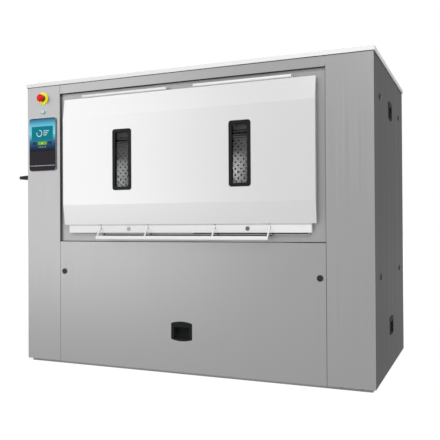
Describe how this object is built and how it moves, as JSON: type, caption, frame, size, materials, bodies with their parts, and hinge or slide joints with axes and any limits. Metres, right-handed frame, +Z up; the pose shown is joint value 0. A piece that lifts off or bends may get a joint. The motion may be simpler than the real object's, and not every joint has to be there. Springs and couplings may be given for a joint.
{
  "type": "industrial washing machine",
  "caption": "Side-loading pass-through industrial washing machine: wide steel cabinet, two-compartment drum across it, top-hung doors with two slim windows and a pull bar.",
  "frame": {"origin": "on the floor, at the centre of the four anchor holes", "axes": "+X along the drum to the right as seen from the loading side, +Y to the unloading side, +Z up"},
  "size_m": [1.988, 1.124, 1.563],
  "materials": {
    "frame_paint": "satin dark gray paint",
    "zinc_steel": "zinc-plated steel tube",
    "casing_steel": "satin stainless sheet, grain upright",
    "side_steel": "satin stainless sheet, grain upright",
    "cover_paint": "light gray powder coat",
    "door_paint": "very light satin coat",
    "black_plastic": "fine-grained black plastic",
    "dark_plastic": "fine-grained dark gray plastic",
    "drain_plastic": "gray pipe plastic",
    "yellow_plastic": "glossy yellow plastic",
    "red_plastic": "glossy red plastic",
    "teal_plastic": "lit translucent plastic",
    "screen_glass": "dark glass with a lit screen",
    "window_glass": "clear toughened glass",
    "brass": "turned brass",
    "bright_steel": "ground steel",
    "lock_steel": "satin chrome",
    "tub_steel": "pickled stainless plate",
    "drum_steel": "polished stainless sheet",
    "cast_iron": "painted casting",
    "motor_paint": "blue-gray motor enamel",
    "seal_rubber": "black rubber",
    "belt_rubber": "black rubber and cord"
  },
  "bodies": {
    "cabinet": {"base_frame": "frame_paint", "cabinet_frame": "zinc_steel", "left_column_panel": "casing_steel", "right_column_panel": "casing_steel", "top_fascia": "casing_steel", "lower_service_panel": "casing_steel", "left_side_panel": "side_steel", "right_side_panel": "side_steel", "rear_column_panels": "casing_steel", "rear_fascia": "casing_steel", "rear_lower_panel": "casing_steel", "flush_pulls": "black_plastic", "top_cover": "cover_paint", "estop_base": "yellow_plastic", "button_bezel": "bright_steel", "touch_screen_housing": "black_plastic", "touch_screen_glass": "screen_glass", "isolator_box": "dark_plastic", "control_cabinet": "cover_paint", "water_inlets": "brass", "power_gland": "dark_plastic", "drain_outlet": "drain_plastic", "tub_shell": "tub_steel", "tub_end_plates": "tub_steel", "tub_stand": "frame_paint", "door_surrounds": "casing_steel", "tub_seals": "seal_rubber", "hinge_knuckles": "door_paint", "hinge_pins": "bright_steel", "bearing_housings": "cast_iron", "shaft_bearings": "bright_steel", "motor": "motor_paint", "drain_valve": "dark_plastic", "drive_belts": "belt_rubber"},
    "drum": {"drum_shell": "drum_steel", "drum_bulkheads": "drum_steel", "drum_lifters": "drum_steel", "drum_shafts": "bright_steel", "drum_pulley": "cast_iron"},
    "drum_door_left": {"drum_door_left": "drum_steel"},
    "drum_door_right": {"drum_door_right": "drum_steel"},
    "motor_rotor": {"motor_pulley": "cast_iron"},
    "front_door": {"front_door_skin": "door_paint", "front_door_frame": "door_paint", "front_window_bezels": "black_plastic", "front_window_panes": "window_glass"},
    "front_pull_bar": {"front_pull_bar": "door_paint"},
    "rear_door": {"rear_door_leaf": "door_paint", "rear_window_bezels": "black_plastic", "rear_window_panes": "window_glass"},
    "rear_pull_bar": {"rear_pull_bar": "door_paint"},
    "estop_head": {"estop_head": "red_plastic"},
    "button_cap": {"button_cap": "teal_plastic"},
    "isolator_handle": {"isolator_handle": "black_plastic"},
    "lock_front_left": {"lock_front_left": "lock_steel"},
    "lock_front_right": {"lock_front_right": "lock_steel"},
    "lock_side_front_low": {"lock_side_front_low": "lock_steel"},
    "lock_side_front_high": {"lock_side_front_high": "lock_steel"},
    "lock_side_rear_low": {"lock_side_rear_low": "lock_steel"},
    "lock_side_rear_high": {"lock_side_rear_high": "lock_steel"}
  },
  "joints": [
    {"name": "drum_spin", "type": "hinge", "parent": "cabinet", "child": "drum", "pos_m": [0, 0, 1.06], "axis": [1, 0, 0], "continuous": true},
    {"name": "motor_spin", "type": "hinge", "parent": "cabinet", "child": "motor_rotor", "pos_m": [0.84, 0, 0.34], "axis": [1, 0, 0], "continuous": true},
    {"name": "drum_door_left_swing", "type": "hinge", "parent": "drum", "child": "drum_door_left", "pos_m": [0, -0.33474, 1.24756], "axis": [1, 0, 0], "range_deg": [0, 80]},
    {"name": "drum_door_right_swing", "type": "hinge", "parent": "drum", "child": "drum_door_right", "pos_m": [0, -0.33474, 1.24756], "axis": [1, 0, 0], "range_deg": [0, 80]},
    {"name": "front_door_hinge", "type": "hinge", "parent": "cabinet", "child": "front_door", "pos_m": [0, -0.518, 1.435], "axis": [-1, 0, 0], "range_deg": [0, 100]},
    {"name": "front_pull_bar_turn", "type": "hinge", "parent": "front_door", "child": "front_pull_bar", "pos_m": [0, -0.5065, 0.754], "axis": [-1, 0, 0], "range_deg": [0, 15]},
    {"name": "rear_door_hinge", "type": "hinge", "parent": "cabinet", "child": "rear_door", "pos_m": [0, 0.518, 1.435], "axis": [1, 0, 0], "range_deg": [0, 100]},
    {"name": "rear_pull_bar_turn", "type": "hinge", "parent": "rear_door", "child": "rear_pull_bar", "pos_m": [0, 0.5065, 0.754], "axis": [1, 0, 0], "range_deg": [0, 15]},
    {"name": "estop_press", "type": "slide", "parent": "cabinet", "child": "estop_head", "axis": [0, 1, 0], "range_m": [0, 0.005]},
    {"name": "button_press", "type": "slide", "parent": "cabinet", "child": "button_cap", "axis": [0, 1, 0], "range_m": [0, 0.0035], "stiffness_N_per_m": 400, "springref_m": -0.003},
    {"name": "isolator_turn", "type": "hinge", "parent": "cabinet", "child": "isolator_handle", "pos_m": [-0.962, -0.41, 1.018], "axis": [-1, 0, 0], "range_deg": [0, 90]},
    {"name": "lock_front_left_turn", "type": "hinge", "parent": "cabinet", "child": "lock_front_left", "pos_m": [-0.7035, -0.51, 0.501], "axis": [0, 1, 0], "range_deg": [0, 90]},
    {"name": "lock_front_right_turn", "type": "hinge", "parent": "cabinet", "child": "lock_front_right", "pos_m": [0.7035, -0.51, 0.501], "axis": [0, -1, 0], "range_deg": [0, 90]},
    {"name": "lock_side_front_low_turn", "type": "hinge", "parent": "cabinet", "child": "lock_side_front_low", "pos_m": [0.95, -0.336, 0.501], "axis": [-1, 0, 0], "range_deg": [0, 90]},
    {"name": "lock_side_front_high_turn", "type": "hinge", "parent": "cabinet", "child": "lock_side_front_high", "pos_m": [0.95, -0.336, 1.342], "axis": [-1, 0, 0], "range_deg": [0, 90]},
    {"name": "lock_side_rear_low_turn", "type": "hinge", "parent": "cabinet", "child": "lock_side_rear_low", "pos_m": [0.95, 0.336, 0.501], "axis": [1, 0, 0], "range_deg": [0, 90]},
    {"name": "lock_side_rear_high_turn", "type": "hinge", "parent": "cabinet", "child": "lock_side_rear_high", "pos_m": [0.95, 0.336, 1.342], "axis": [1, 0, 0], "range_deg": [0, 90]}
  ],
  "couplings": [
    {"joint": "motor_spin", "follows": "drum_spin", "ratio": 5}
  ]
}
